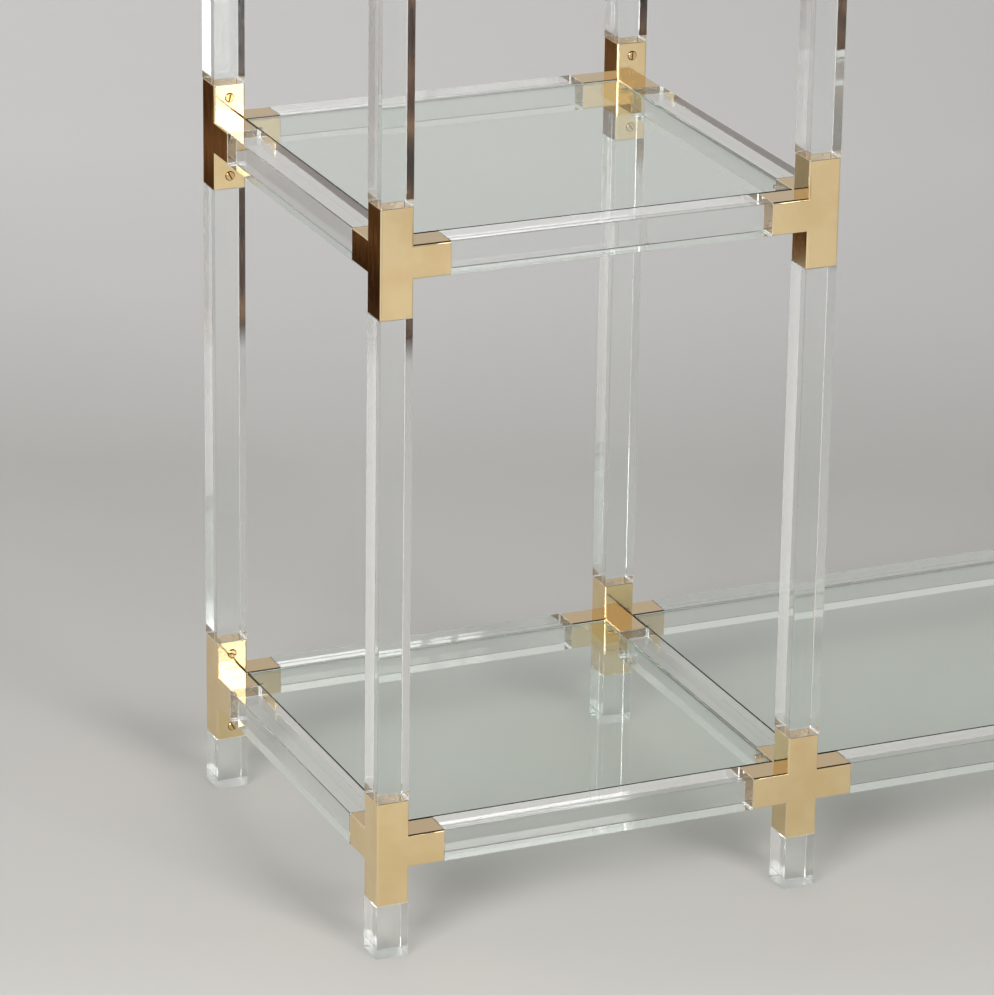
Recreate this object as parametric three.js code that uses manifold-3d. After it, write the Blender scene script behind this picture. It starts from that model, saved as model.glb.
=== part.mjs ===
// A tower etagere with a low wing at its right. Square bars of clear acrylic meet in hollow
// brass sleeves, and panes of glass lie between the rails. Each bar has a tenon at its end,
// which a screw or a pin holds in its sleeve. The pins stand proud and carry the panes.
//
// Millimetres. +X runs along the front to the right, +Y to the back and +Z up. The origin is
// on the floor, under the middle of the whole footprint.

import * as THREE from 'three';
import { mergeVertices } from 'three/addons/utils/BufferGeometryUtils.js';
import Module from 'manifold-3d';

const wasm = await Module();
wasm.setup();

// Frame, measured between centre lines
const levelCount = 4;
const levelPitch = 537;
const towerWidth = 396;
const towerDepth = 396;
const wingLength = 792;
const lowestRailHeight = 99; // from the floor to the centre of the lowest rails

// Acrylic bars
const barSize = 30;
const barEdge = 0.8; // flat along each polished edge

// Brass sleeves, made of square tube
const sleeveWall = 1.5;
const sleeveCorner = 2; // outer corner radius of the tube
const sleeveCornerSteps = 2;
const sleeveReach = 48.5; // from the centre of a sleeve to the mouth of each arm

// Fits
const slidingFit = 0.3; // around a tenon in its sleeve
const seatGap = 0.2; // between faces that rest on each other
const tenonGap = 0.5; // beyond the end of a tenon, and beyond the tip of a shank
const holeFit = 0.25; // around a shank in the hole of a tenon
const cutOverrun = 1; // how far a cut runs past the face that it opens

// Screws
const shankDiameter = 4;
const shankDepth = 9; // from the face of the sleeve to the tip
const shankSides = 6;
const headDiameter = 7.8;
const headHeight = 1;
const headSides = 8;
const slotWidth = 1.1;
const slotDepth = 0.6;
const screwInset = 12; // from the mouth of an arm to the screw

// Pins that carry the panes
const pinDiameter = 4.5;
const pinDepth = 9; // from the face of the sleeve to the inner end
const pinProud = 7; // from the face of the sleeve to the free end
const pinInset = 10; // from the mouth of an arm to the pin

// Glass panes, level with the tops of the rails
const paneThickness = 6;
const paneEdge = 0.7; // ground flat along each edge
const paneGap = 0.6; // between an edge of a pane and the rail beside it

const right = new THREE.Vector3(1, 0, 0);
const back = new THREE.Vector3(0, 1, 0);
const up = new THREE.Vector3(0, 0, 1);
const left = right.clone().negate();
const front = back.clone().negate();
const down = up.clone().negate();
const goldenAngle = Math.PI * (3 - Math.sqrt(5)); // radians

const acrylic = new THREE.MeshStandardMaterial({
  color: 0xeef2f0, roughness: 0.03, metalness: 0, transparent: true, opacity: 0.4,
});
const brass = new THREE.MeshStandardMaterial({ color: 0xd9b66a, roughness: 0.12, metalness: 1 });
const glass = new THREE.MeshStandardMaterial({
  color: 0xc4d6ce, roughness: 0.02, metalness: 0, transparent: true, opacity: 0.35,
});

// A closed geometry as a solid that can be joined and cut
function solid(geometry) {
  const bare = geometry.clone();
  bare.deleteAttribute('normal');
  bare.deleteAttribute('uv');
  const merged = mergeVertices(bare);
  return new wasm.Manifold(new wasm.Mesh({
    numProp: 3,
    vertProperties: Float32Array.from(merged.attributes.position.array),
    triVerts: Uint32Array.from(merged.index.array),
  }));
}

// The surface of a solid as a geometry
function surface(body) {
  const { vertProperties, triVerts } = body.getMesh();
  const geometry = new THREE.BufferGeometry();
  geometry.setAttribute('position', new THREE.BufferAttribute(Float32Array.from(vertProperties), 3));
  geometry.setIndex(new THREE.BufferAttribute(Uint32Array.from(triVerts), 1));
  return geometry;
}

// A geometry that was drawn along +Z, turned to run along another direction
function aimed(geometry, direction) {
  return geometry.applyQuaternion(new THREE.Quaternion().setFromUnitVectors(up, direction));
}

// A square bar between two distances along a direction, with its long edges rounded in steps
function squareBar(size, radius, steps, start, end, direction) {
  const centre = size / 2 - radius;
  const shape = new THREE.Shape();
  shape.absarc(centre, centre, radius, 0, Math.PI / 2);
  shape.absarc(-centre, centre, radius, Math.PI / 2, Math.PI);
  shape.absarc(-centre, -centre, radius, Math.PI, 1.5 * Math.PI);
  shape.absarc(centre, -centre, radius, 1.5 * Math.PI, 2 * Math.PI);
  const bar = new THREE.ExtrudeGeometry(shape, {
    depth: end - start, bevelEnabled: false, curveSegments: steps,
  });
  return aimed(bar.translate(0, 0, start), direction);
}

// A square bar with sharp edges between two distances along a direction
function plainBar(size, start, end, direction) {
  const bar = new THREE.BoxGeometry(size, size, end - start);
  return aimed(bar.translate(0, 0, (start + end) / 2), direction);
}

// A round bar between two distances along +Z
function roundBar(diameter, start, end, sides) {
  const bar = new THREE.CylinderGeometry(diameter / 2, diameter / 2, end - start, sides);
  return bar.rotateX(Math.PI / 2).translate(0, 0, (start + end) / 2);
}

// A slotted screw. Its head stands on the face at zero, and its shank runs down from there.
function screwSolid() {
  const slot = new THREE.BoxGeometry(headDiameter + cutOverrun, slotWidth, slotDepth + cutOverrun)
    .translate(0, 0, headHeight + (cutOverrun - slotDepth) / 2);
  return solid(roundBar(headDiameter, 0, headHeight, headSides))
    .add(solid(roundBar(shankDiameter, -shankDepth, headHeight - slotDepth, shankSides)))
    .subtract(solid(slot));
}

// The two kinds of fastener: the form of each, and where it stands on the arm that it enters
const fastenerKinds = {
  screw: {
    form: surface(screwSolid()), diameter: shankDiameter, depth: shankDepth, inset: screwInset, rise: 0,
  },
  pin: {
    form: roundBar(pinDiameter, -pinDepth, pinProud, shankSides),
    diameter: pinDiameter,
    depth: pinDepth,
    inset: pinInset,
    rise: barSize / 2 - paneThickness - seatGap - pinDiameter / 2,
  },
};

// The frame is a set of sites, where bars meet in a sleeve, and the bars and panes between them
const sites = [];
const bars = [];
const panes = [];
let fastenerCount = 0;

function addSite(name, x, y, z, screwFace) {
  const site = { name, centre: new THREE.Vector3(x, y, z), screwFace, arms: [], fasteners: [] };
  sites.push(site);
  return site;
}

// One fastener on one face of an arm, placed from the centre of the arm's sleeve. Each stops at
// an angle of its own.
function makeFastener(kind, arm, face) {
  const place = arm.clone().multiplyScalar(sleeveReach - kind.inset)
    .addScaledVector(face, barSize / 2)
    .addScaledVector(up, kind.rise);
  fastenerCount += 1;
  return { kind, face, place, turn: fastenerCount * goldenAngle };
}

// The solid of a fastener, about the centre of its sleeve
function fastenerSolid({ kind, face, place, turn }) {
  return solid(aimed(kind.form.clone().rotateZ(turn), face).translate(...place));
}

// The hole that a fastener needs in a tenon, about the centre of the sleeve
function fastenerHole({ kind, face, place, turn }) {
  const hole = roundBar(kind.diameter + 2 * holeFit, -kind.depth - tenonGap, cutOverrun, shankSides);
  return solid(aimed(hole.rotateZ(turn), face).translate(...place));
}

// One end of a bar in a site's sleeve, with the fasteners that hold it there
function seatEnd(site, arm, kind, faces) {
  const fasteners = faces.map((face) => makeFastener(kind, arm, face));
  site.arms.push(arm);
  site.fasteners.push(...fasteners);
  return { site, arm, fasteners };
}

function addPost(name, lower, upper) {
  const ends = [
    seatEnd(lower, up, fastenerKinds.screw, [lower.screwFace]),
    seatEnd(upper, down, fastenerKinds.screw, [upper.screwFace]),
  ];
  bars.push({ name, ends, length: upper.centre.z - lower.centre.z });
}

function addLongRail(name, leftSite, rightSite) {
  const ends = [
    seatEnd(leftSite, right, fastenerKinds.screw, [down]),
    seatEnd(rightSite, left, fastenerKinds.screw, [down]),
  ];
  bars.push({ name, ends, length: rightSite.centre.x - leftSite.centre.x });
}

function addSideRail(name, frontSite, backSite, paneSides) {
  const ends = [
    seatEnd(frontSite, back, fastenerKinds.pin, paneSides),
    seatEnd(backSite, front, fastenerKinds.pin, paneSides),
  ];
  bars.push({ name, ends, length: backSite.centre.y - frontSite.centre.y });
}

function addPane(name, frontLeftSite, backRightSite) {
  panes.push({ name, low: frontLeftSite.centre, high: backRightSite.centre });
}

// The corners of the tower, and the end of the wing
const leftX = -(towerWidth + wingLength) / 2;
const rightX = leftX + towerWidth;
const wingX = rightX + wingLength;
const frontY = -towerDepth / 2;
const backY = towerDepth / 2;

// One level of the tower: four sleeves, four rails and a pane. The screws of the posts are on the
// faces that look into the bay. The lowest right rail has a pane on each side, and the sleeve at
// its back end has its screws on the side of the wing.
function addLevel(number) {
  const z = lowestRailHeight + (number - 1) * levelPitch;
  const lowest = number === 1;
  const corners = {
    front_left: addSite(`connector_${number}_front_left`, leftX, frontY, z, back),
    front_right: addSite(`connector_${number}_front_right`, rightX, frontY, z, back),
    back_left: addSite(`connector_${number}_back_left`, leftX, backY, z, front),
    back_right: addSite(`connector_${number}_back_right`, rightX, backY, z, lowest ? right : front),
  };
  addLongRail(`rail_${number}_front`, corners.front_left, corners.front_right);
  addLongRail(`rail_${number}_back`, corners.back_left, corners.back_right);
  addSideRail(`rail_${number}_left`, corners.front_left, corners.back_left, [right]);
  addSideRail(
    `rail_${number}_right`, corners.front_right, corners.back_right, lowest ? [left, right] : [left],
  );
  addPane(`pane_${number}`, corners.front_left, corners.back_right);
  return corners;
}

const levels = [];
for (let number = 1; number <= levelCount; number += 1) {
  levels.push(addLevel(number));
}
for (let bay = 1; bay < levelCount; bay += 1) {
  for (const [cornerName, lower] of Object.entries(levels[bay - 1])) {
    addPost(`post_${bay}_${cornerName}`, lower, levels[bay][cornerName]);
  }
}

const wingFront = addSite('connector_wing_front', wingX, frontY, lowestRailHeight, back);
const wingBack = addSite('connector_wing_back', wingX, backY, lowestRailHeight, front);
addLongRail('rail_wing_front', levels[0].front_right, wingFront);
addLongRail('rail_wing_back', levels[0].back_right, wingBack);
addSideRail('rail_wing_end', wingFront, wingBack, [left]);
addPane('pane_wing', levels[0].front_right, wingBack);

// A foot is a short post from the floor into a lowest sleeve
const groundSites = { ...levels[0], wing_front: wingFront, wing_back: wingBack };
const feet = Object.entries(groundSites).map(([cornerName, site]) => ({
  name: `foot_${cornerName}`,
  end: seatEnd(site, down, fastenerKinds.screw, [site.screwFace]),
}));

// A sleeve: a rounded hollow block at the centre, with a hollow arm for each bar that meets there.
// It is one solid with the screws and pins that it carries.
function sleeveGeometry({ arms, fasteners }) {
  const half = barSize / 2;
  const bore = barSize - 2 * sleeveWall;
  const block = [right, back, up]
    .map((axis) => solid(squareBar(barSize, sleeveCorner, sleeveCornerSteps, -half, half, axis)))
    .reduce((body, bar) => body.intersect(bar));
  const outer = arms
    .map((arm) => solid(squareBar(barSize, sleeveCorner, sleeveCornerSteps, 0, sleeveReach, arm)))
    .reduce((body, bar) => body.add(bar), block);
  const hollow = arms
    .map((arm) => solid(plainBar(bore, -bore / 2, sleeveReach + cutOverrun, arm)))
    .reduce((body, bar) => body.add(bar));
  return surface(fasteners.reduce((body, item) => body.add(fastenerSolid(item)), outer.subtract(hollow)));
}

// Where a tenon starts and its shoulder lies, from the centre of the sleeve
const tenonStart = barSize / 2 + tenonGap;
const shoulder = sleeveReach + seatGap;
const tenonSize = barSize - 2 * (sleeveWall + slidingFit);

// A bar between two sleeves, about the centre of the first one, with a tenon at each end
function barGeometry({ ends: [near, far], length }) {
  const body = solid(squareBar(barSize, barEdge, 1, shoulder, length - shoulder, near.arm));
  const tenons = solid(plainBar(tenonSize, tenonStart, length - tenonStart, near.arm));
  const farCentre = near.arm.clone().multiplyScalar(length);
  const holes = [
    ...near.fasteners.map(fastenerHole),
    ...far.fasteners.map((item) => fastenerHole(item).translate(...farCentre)),
  ];
  return surface(holes.reduce((bar, hole) => bar.subtract(hole), body.add(tenons)));
}

// A foot, about the centre of its sleeve, with one tenon
function footGeometry({ arm, fasteners }) {
  const body = solid(squareBar(barSize, barEdge, 1, shoulder, lowestRailHeight, arm));
  const tenon = solid(plainBar(tenonSize, tenonStart, (shoulder + lowestRailHeight) / 2, arm));
  return surface(fasteners.reduce((foot, item) => foot.subtract(fastenerHole(item)), body.add(tenon)));
}

// A pane that fills the space between the sleeves at two opposite corners
function paneGeometry({ low, high }) {
  const inset = barSize / 2 + paneGap;
  const x = (high.x - low.x) / 2 - inset;
  const y = (high.y - low.y) / 2 - inset;
  const shape = new THREE.Shape([
    new THREE.Vector2(-x, -y), new THREE.Vector2(x, -y), new THREE.Vector2(x, y), new THREE.Vector2(-x, y),
  ]);
  return new THREE.ExtrudeGeometry(shape, {
    depth: paneThickness - 2 * paneEdge,
    bevelThickness: paneEdge,
    bevelSize: paneEdge,
    bevelOffset: -paneEdge,
    bevelSegments: 1,
  });
}

const etagere = new THREE.Group();

function addPiece(name, geometry, material, place) {
  const mesh = new THREE.Mesh(geometry, material);
  mesh.name = name;
  mesh.position.copy(place);
  etagere.add(mesh);
}

for (const site of sites) {
  addPiece(site.name, sleeveGeometry(site), brass, site.centre);
}
for (const bar of bars) {
  addPiece(bar.name, barGeometry(bar), acrylic, bar.ends[0].site.centre);
}
for (const foot of feet) {
  addPiece(foot.name, footGeometry(foot.end), acrylic, foot.end.site.centre);
}
for (const pane of panes) {
  const place = pane.low.clone().add(pane.high).multiplyScalar(1 / 2);
  place.z += barSize / 2 - paneThickness + paneEdge;
  addPiece(pane.name, paneGeometry(pane), glass, place);
}

export default etagere;
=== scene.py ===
"""The looks of a tower etagere with a low wing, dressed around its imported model.

Square bars of clear acrylic meet in hollow brass sleeves, and panes of float glass lie between the
rails. Places are in metres in the frame of the model: +X along the front to the right, +Y to the
back, +Z up, with the origin on the floor under the middle of the footprint. Sizes of the pieces
are in millimetres.
"""

import logging
import math
from dataclasses import dataclass, field
from enum import Enum
from itertools import product

import bmesh
import bpy
import numpy as np
from mathutils import Matrix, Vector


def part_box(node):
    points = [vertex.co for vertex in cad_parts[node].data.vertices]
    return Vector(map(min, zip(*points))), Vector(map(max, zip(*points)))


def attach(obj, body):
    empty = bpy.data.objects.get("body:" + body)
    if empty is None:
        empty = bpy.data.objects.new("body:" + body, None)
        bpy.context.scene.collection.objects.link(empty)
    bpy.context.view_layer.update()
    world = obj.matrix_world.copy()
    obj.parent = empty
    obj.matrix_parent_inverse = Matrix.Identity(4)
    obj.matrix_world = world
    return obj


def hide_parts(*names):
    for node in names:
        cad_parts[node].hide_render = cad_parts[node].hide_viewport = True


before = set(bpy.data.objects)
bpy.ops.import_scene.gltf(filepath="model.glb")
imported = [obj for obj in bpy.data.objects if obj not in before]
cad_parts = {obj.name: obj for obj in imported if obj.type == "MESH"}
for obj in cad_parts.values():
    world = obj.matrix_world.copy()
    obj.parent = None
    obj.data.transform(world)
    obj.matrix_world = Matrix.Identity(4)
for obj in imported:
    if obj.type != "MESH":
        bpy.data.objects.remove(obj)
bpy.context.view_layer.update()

LOG = logging.getLogger("etagere")
BODY = "root"
MM = 0.001  # metres in a millimetre
WELD = 1e-4  # millimetres within which two points are one
SHARP = math.radians(32)  # faces that meet at more than this keep a crisp line between them
FLATNESS = 100  # the most that the modifier allows, so that large flats set the shading
GOLDEN_ANGLE = math.pi * (3 - math.sqrt(5))  # from one screw's slot to the next, so that no two lie alike

Tree = bpy.types.NodeTree
Socket = bpy.types.NodeSocket
Colour = tuple[float, float, float, float]
Triple = tuple[float, float, float]  # a place, a direction or angles, on X, Y and Z
Span = tuple[float, float]


class Way(Enum):
    """A direction along the frame, as the axis that it follows and its sign on it."""

    LEFT = (0, -1)
    RIGHT = (0, 1)
    FRONT = (1, -1)
    BACK = (1, 1)
    DOWN = (2, -1)
    UP = (2, 1)

    @property
    def vector(self) -> np.ndarray:
        """The unit vector of the direction."""
        return np.eye(3)[self.value[0]] * self.value[1]

    @property
    def opposite(self) -> "Way":
        """The direction back."""
        return Way((self.value[0], -self.value[1]))


class Slot(Enum):
    """The finishes that the record names."""

    BRASS = "brass_sleeve"
    ACRYLIC = "clear_acrylic"
    GLASS = "float_glass"


# Colours, nodes and patterns


def linear(hex_colour: str) -> Colour:
    """Turns an sRGB hex colour into a linear one.

    Args:
        hex_colour: six hex digits, such as "E8C98A".

    Returns:
        Linear red, green and blue, and an alpha of one.
    """
    shares = np.array([int(hex_colour[i : i + 2], 16) for i in (0, 2, 4)]) / 255
    curved = np.where(shares <= 0.04045, shares / 12.92, ((shares + 0.055) / 1.055) ** 2.4)
    return (*curved.tolist(), 1.0)


def add_node(
    tree: Tree, kind: str, settings: dict | None = None, stops: list | None = None, **inputs: object
) -> bpy.types.Node:
    """Adds a shader node with its settings and links.

    Args:
        tree: the tree that gets the node.
        kind: the node's type without its prefix, such as "Math".
        settings: its own properties, such as {"operation": "ADD"}.
        stops: a colour ramp's places from 0 to 1, each with a grey level or a linear colour.
        inputs: its sockets, by name with _ for a space or by i and a number. A socket as the value
            is linked, and any other value is set.

    Returns:
        The new node.
    """
    node = tree.nodes.new("ShaderNode" + kind)
    for name, value in (settings or {}).items():
        setattr(node, name, value)
    while stops and len(node.color_ramp.elements) < len(stops):
        node.color_ramp.elements.new(1.0)
    for number, (place, tone) in enumerate(stops or []):
        node.color_ramp.elements[number].position = place
        node.color_ramp.elements[number].color = tone if isinstance(tone, tuple) else (tone,) * 3 + (1.0,)
    for name, value in inputs.items():
        number = name[1:] if name[0] == "i" and name[1:].isdigit() else None
        socket = node.inputs[int(number)] if number else node.inputs[name.replace("_", " ")]
        if isinstance(value, Socket):
            tree.links.new(value, socket)
        else:
            socket.default_value = value
    return node


def new_material(name: str) -> tuple[bpy.types.Material, Tree, Socket]:
    """Makes a node material that holds only its coordinates.

    Args:
        name: its name.

    Returns:
        The material, its tree and the socket of the coordinates.
    """
    material = bpy.data.materials.new(name)
    material.use_nodes = True
    material.node_tree.nodes.clear()
    return material, material.node_tree, add_node(material.node_tree, "TexCoord").outputs["Object"]


@dataclass(frozen=True)
class Pattern:
    """Smooth noise on a face with features of about a real size, in millimetres."""

    breadth: float
    length: float | None = None  # how long its features are drawn out, or None where they are round
    height: float = 0.0  # from the troughs to the crests, where it is a relief
    detail: float = 1.0  # finer octaves on top of the first
    strength: float = 1.0
    crests: Span = (0.66, 0.72)  # the part of the noise that becomes a scratch
    lean: Triple = (1.0, 0.7, -0.4)  # how a turn is shared between the three axes

    def noise(self, tree: Tree, place: Socket, axis: int = 2, turn: Triple = (0.0, 0.0, 0.0)) -> Socket:
        """Adds the noise.

        Args:
            tree: the tree that gets it.
            place: the coordinates.
            axis: the axis that its features are drawn out along.
            turn: the angles in radians by which they lean from the axes.

        Returns:
            Its factor, from zero to one.
        """
        share = self.breadth / (self.length or self.breadth)
        scale = tuple(np.where(np.arange(3) == axis, share, 1.0).tolist())
        drawn = add_node(tree, "Mapping", Vector=place, Rotation=turn, Scale=scale).outputs["Vector"]
        per_metre = 1 / (self.breadth * MM)
        return add_node(tree, "TexNoise", Vector=drawn, Scale=per_metre, Detail=self.detail).outputs["Fac"]

    def tones(self, tree: Tree, place: Socket, stops: list, **drawn: object) -> Socket:
        """Adds the noise and turns its levels to tones.

        Args:
            tree: the tree that gets it.
            place: the coordinates.
            stops: levels of the noise, each with a grey level or a linear colour.
            drawn: the axis and the turn of the noise.

        Returns:
            The socket of the tone.
        """
        noise = self.noise(tree, place, **drawn)
        return add_node(tree, "ValToRGB", stops=stops, Fac=noise).outputs["Color"]

    def relief(self, tree: Tree, place: Socket, axis: int = 2, **under: Socket) -> Socket:
        """Adds the noise as a relief of its height.

        Args:
            tree: the tree that gets it.
            place: the coordinates.
            axis: the axis that its features are drawn out along.
            under: Normal, the relief that it lies on, where there is one.

        Returns:
            The bent normal.
        """
        waves = self.noise(tree, place, axis)
        distance = self.height * MM
        node = add_node(tree, "Bump", Strength=self.strength, Distance=distance, Height=waves, **under)
        return node.outputs["Normal"]

    def scratches(self, tree: Tree, place: Socket, turn: float, under: Socket) -> tuple[Socket, Socket]:
        """Adds sparse fine scratches: the drawn out noise, of which only the crests stay, cut into the face.

        Args:
            tree: the tree that gets them.
            place: the coordinates.
            turn: degrees by which they lean from the axes.
            under: the normal of the face that they are cut into.

        Returns:
            A socket that is one on a scratch and zero beside it, and the bent normal.
        """
        leaning = tuple(math.radians(turn * share) for share in self.lean)
        marks = self.tones(tree, place, list(zip(self.crests, (0.0, 1.0))), turn=leaning)
        sizes = {"Strength": self.strength, "Distance": self.height * MM}
        node = add_node(tree, "Bump", {"invert": True}, Height=marks, Normal=under, **sizes)
        return marks, node.outputs["Normal"]


# Surfaces


def along(axes: tuple[int, int, int], first: object, second: object, third: object) -> np.ndarray:
    """Points whose coordinates on three axes are given.

    Args:
        axes: which axis each of the three coordinates belongs to.
        first: one coordinate, a number or an array.
        second: another one.
        third: the last one.

    Returns:
        An array with a last dimension of three, in the order X, Y, Z.
    """
    parts = np.broadcast_arrays(first, second, third)
    points = np.empty(parts[0].shape + (3,))
    for axis, part in zip(axes, parts):
        points[..., axis] = part
    return points


def in_turn(axis: int) -> tuple[int, int, int]:
    """An axis and the two that follow it."""
    return axis, (axis + 1) % 3, (axis + 2) % 3


def quarter_turn(steps: int) -> np.ndarray:
    """Angles from zero to a quarter of a turn."""
    return np.linspace(0, math.pi / 2, steps + 1)


def on_circle(angles: np.ndarray) -> np.ndarray:
    """Points at angles on a circle of radius one, with a last dimension of two."""
    return np.stack([np.cos(angles), np.sin(angles)], -1)


def rounded_square(half: float | np.ndarray, radius: float, steps: int) -> np.ndarray:
    """The outline of a square or a rectangle with round corners.

    Each corner is a quarter circle about a centre that lies the radius in from both sides.

    Args:
        half: half of the side, or of the two sides.
        radius: the corner radius.
        steps: the steps in each corner.

    Returns:
        Points in the plane, counted anticlockwise from the side at +X.
    """
    quarters = np.arange(4)[:, None] * math.pi / 2
    angles = quarters + quarter_turn(steps)
    middles = np.sqrt(2) * (half - radius) * on_circle(quarters + math.pi / 4)
    return (middles + radius * on_circle(angles)).reshape(-1, 2)


def facing(way: Way, angle: float) -> np.ndarray:
    """A matrix that turns a piece whose own top is its third axis to look one way.

    Args:
        way: the way it looks.
        angle: how far it is turned about that way, in radians.

    Returns:
        A matrix whose columns are the piece's own axes.
    """
    third = way.vector
    first = np.roll(np.abs(third), 1)
    across = first * math.cos(angle) + np.cross(third, first) * math.sin(angle)
    return np.stack([across, np.cross(third, across), third], -1)


class Skin:
    """The patches of one piece's surface in millimetres, welded into one closed mesh at the end."""

    def __init__(self) -> None:
        """Starts with no patches."""
        self.points: list[np.ndarray] = []
        self.faces: list[list[int]] = []
        self.finishes: list[int] = []
        self.count = 0

    def _keep(self, points: np.ndarray) -> np.ndarray:
        """Stores points.

        Args:
            points: any array with a last dimension of three.

        Returns:
            Their numbers, in the same shape.
        """
        flat = points.reshape(-1, 3)
        numbers = self.count + np.arange(len(flat))
        self.points.append(flat)
        self.count += len(flat)
        return numbers.reshape(points.shape[:-1])

    def face(self, points: np.ndarray, finish: int = 0) -> None:
        """Adds one flat face with any number of corners."""
        self.faces.append(self._keep(np.asarray(points)).tolist())
        self.finishes.append(finish)

    def grid(self, points: np.ndarray, closed: bool = False, finish: int = 0) -> None:
        """Adds a patch of four-sided faces between rows of points.

        Args:
            points: rows, columns and three coordinates.
            closed: whether each row runs round to its own start.
            finish: the number of the material.
        """
        numbers = self._keep(points)
        if closed:
            numbers = np.concatenate([numbers, numbers[:, :1]], 1)
        corners = [numbers[:-1, :-1], numbers[:-1, 1:], numbers[1:, 1:], numbers[1:, :-1]]
        quads = np.stack(corners, -1).reshape(-1, 4)
        self.faces += quads.tolist()
        self.finishes += [finish] * len(quads)

    def bar(self, loops: np.ndarray, finish: int = 0, end_finish: int = 0) -> None:
        """Adds a closed bar through loops of points, with a flat face over each end.

        Args:
            loops: the loops in order, each with the same number of points.
            finish: the number of the material round the bar.
            end_finish: the number of the material on its ends.
        """
        self.grid(loops, closed=True, finish=finish)
        self.face(loops[0], end_finish)
        self.face(loops[-1], end_finish)

    def build(self, name: str, centre: np.ndarray, materials: list[bpy.types.Material]) -> bpy.types.Object:
        """Welds the patches and makes an object of them.

        Points within the weld distance become one, faces lose the corners that this doubles, and
        all faces are turned outwards.

        Args:
            name: the piece's name.
            centre: where its own origin lies in the frame, in metres.
            materials: its finishes, in the order of their numbers.

        Returns:
            The linked object, at the origin, with its place in its mesh.
        """
        points = np.concatenate(self.points)
        cells = np.round(points / WELD).astype(np.int64)
        _, first, same = np.unique(cells, axis=0, return_index=True, return_inverse=True)
        same = same.reshape(-1)
        faces, finishes = [], []
        for corners, finish in zip(self.faces, self.finishes):
            kept = [c for c, before in zip(same[corners], same[np.roll(corners, 1)]) if c != before]
            if len(kept) > 2:
                faces.append(kept)
                finishes.append(finish)
        mesh = bpy.data.meshes.new(name)
        mesh.from_pydata(points[first] * MM + centre, [], faces)
        mesh.polygons.foreach_set("material_index", finishes)
        made = bmesh.new()
        made.from_mesh(mesh)
        bmesh.ops.recalc_face_normals(made, faces=made.faces)
        made.to_mesh(mesh)
        made.free()
        for material in materials:
            mesh.materials.append(material)
        piece = bpy.data.objects.new(name, mesh)
        bpy.context.scene.collection.objects.link(piece)
        return piece


def drilled(piece: bpy.types.Object, drills: bpy.types.Object) -> None:
    """Cuts holes into a piece and removes what cut them.

    Args:
        piece: the object that gets the holes.
        drills: one object that fills all of them.
    """
    cut = piece.modifiers.new("holes", "BOOLEAN")
    cut.operation = "DIFFERENCE"
    cut.object = drills
    cut.solver = "EXACT"
    graph = bpy.context.evaluated_depsgraph_get()
    mesh = bpy.data.meshes.new_from_object(piece.evaluated_get(graph))
    piece.modifiers.clear()
    piece.data = mesh
    bpy.data.objects.remove(drills)


def dressed(piece: bpy.types.Object, slot: Slot, *nodes: str) -> bpy.types.Object:
    """Finishes a piece: smooth arcs beside true flats, its body and the nodes it replaces.

    Args:
        piece: the object.
        slot: not used.
        nodes: the model's nodes that it stands for.

    Returns:
        The same object.
    """
    piece.data.shade_smooth()
    piece.data.set_sharp_from_angle(angle=SHARP)
    flats = piece.modifiers.new("flats", "WEIGHTED_NORMAL")
    flats.mode = "FACE_AREA"
    flats.weight = FLATNESS
    flats.keep_sharp = True
    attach(piece, BODY)
    if nodes:
        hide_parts(*nodes)
    LOG.info("%s: %d faces", piece.name, len(piece.data.polygons))
    return piece


# Finishes


def see_through(tree: Tree, shader: bpy.types.Node, passes: Colour) -> Socket:
    """Lets lamp light through a clear shader in straight lines, so that its shadow is as pale as a real one.

    Args:
        tree: the material's tree.
        shader: the clear shader.
        passes: the share of each colour that passes one face.

    Returns:
        The mixed shader's socket.
    """
    path = add_node(tree, "LightPath").outputs
    rays = {"i0": path["Is Shadow Ray"], "i1": path["Is Diffuse Ray"]}
    lit = add_node(tree, "Math", {"operation": "MAXIMUM"}, **rays).outputs[0]
    passed = add_node(tree, "BsdfTransparent", Color=passes).outputs["BSDF"]
    return add_node(tree, "MixShader", i0=lit, i1=shader.outputs["BSDF"], i2=passed).outputs["Shader"]


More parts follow.
